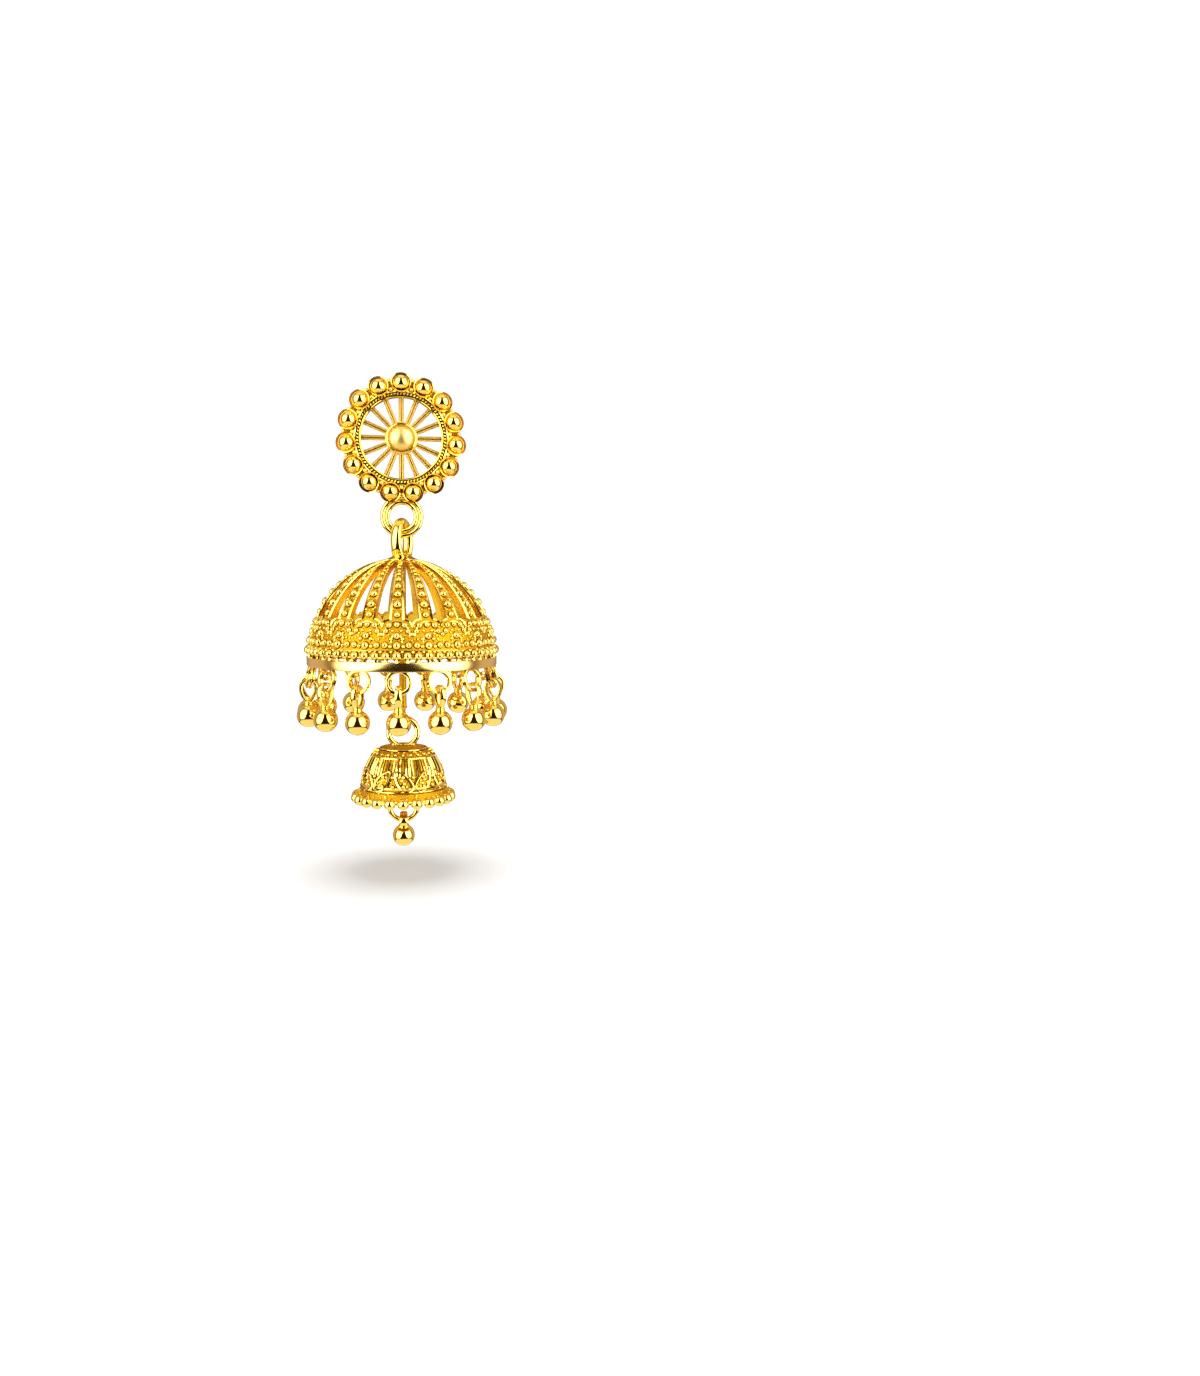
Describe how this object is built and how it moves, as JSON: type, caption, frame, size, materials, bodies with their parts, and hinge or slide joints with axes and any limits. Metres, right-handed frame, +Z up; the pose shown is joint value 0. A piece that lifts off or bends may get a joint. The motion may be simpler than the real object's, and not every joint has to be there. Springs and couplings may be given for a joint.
{
  "type": "jhumka earring",
  "caption": "hanging jhumka earring: a spoked wheel stud on a post, a pierced bell with ball drops round its rim, and a small beaded bell with a clapper below",
  "frame": {"origin": "middle of the stud's flat back, at the foot of its post, where the earring pins on", "axes": "+Z up as worn, -Y the way the earring faces, +X to the viewer's right"},
  "size_m": [0.0222, 0.0222, 0.05],
  "materials": {
    "stud": "polished high-carat gold",
    "dome": "polished high-carat gold with granulation",
    "small_bell": "polished high-carat gold with granulation",
    "clapper_ring": "polished high-carat gold",
    "clapper": "polished high-carat gold",
    "drop_01": "polished high-carat gold",
    "drop_02": "polished high-carat gold",
    "drop_03": "polished high-carat gold",
    "drop_04": "polished high-carat gold",
    "drop_05": "polished high-carat gold",
    "drop_06": "polished high-carat gold",
    "drop_07": "polished high-carat gold",
    "drop_08": "polished high-carat gold",
    "drop_09": "polished high-carat gold",
    "drop_10": "polished high-carat gold",
    "drop_11": "polished high-carat gold",
    "drop_12": "polished high-carat gold",
    "drop_13": "polished high-carat gold",
    "drop_14": "polished high-carat gold",
    "drop_15": "polished high-carat gold"
  },
  "bodies": {
    "ear_stud": {"stud": "stud"},
    "bell": {"dome": "dome", "drop_01": "drop_01", "drop_02": "drop_02", "drop_03": "drop_03", "drop_04": "drop_04", "drop_05": "drop_05", "drop_06": "drop_06", "drop_07": "drop_07", "drop_08": "drop_08", "drop_09": "drop_09", "drop_10": "drop_10", "drop_11": "drop_11", "drop_12": "drop_12", "drop_13": "drop_13", "drop_14": "drop_14", "drop_15": "drop_15"},
    "lower_bell": {"small_bell": "small_bell", "clapper_ring": "clapper_ring", "clapper": "clapper"}
  },
  "joints": [
    {"name": "bell_swing", "type": "hinge", "parent": "ear_stud", "child": "bell", "pos_m": [0, -0.00045, -0.00982], "axis": [1, 0, 0], "range_deg": [-35, 35]},
    {"name": "small_bell_swing", "type": "hinge", "parent": "bell", "child": "lower_bell", "pos_m": [0, -0.00045, -0.0294], "axis": [1, 0, 0], "range_deg": [-25, 25]}
  ]
}
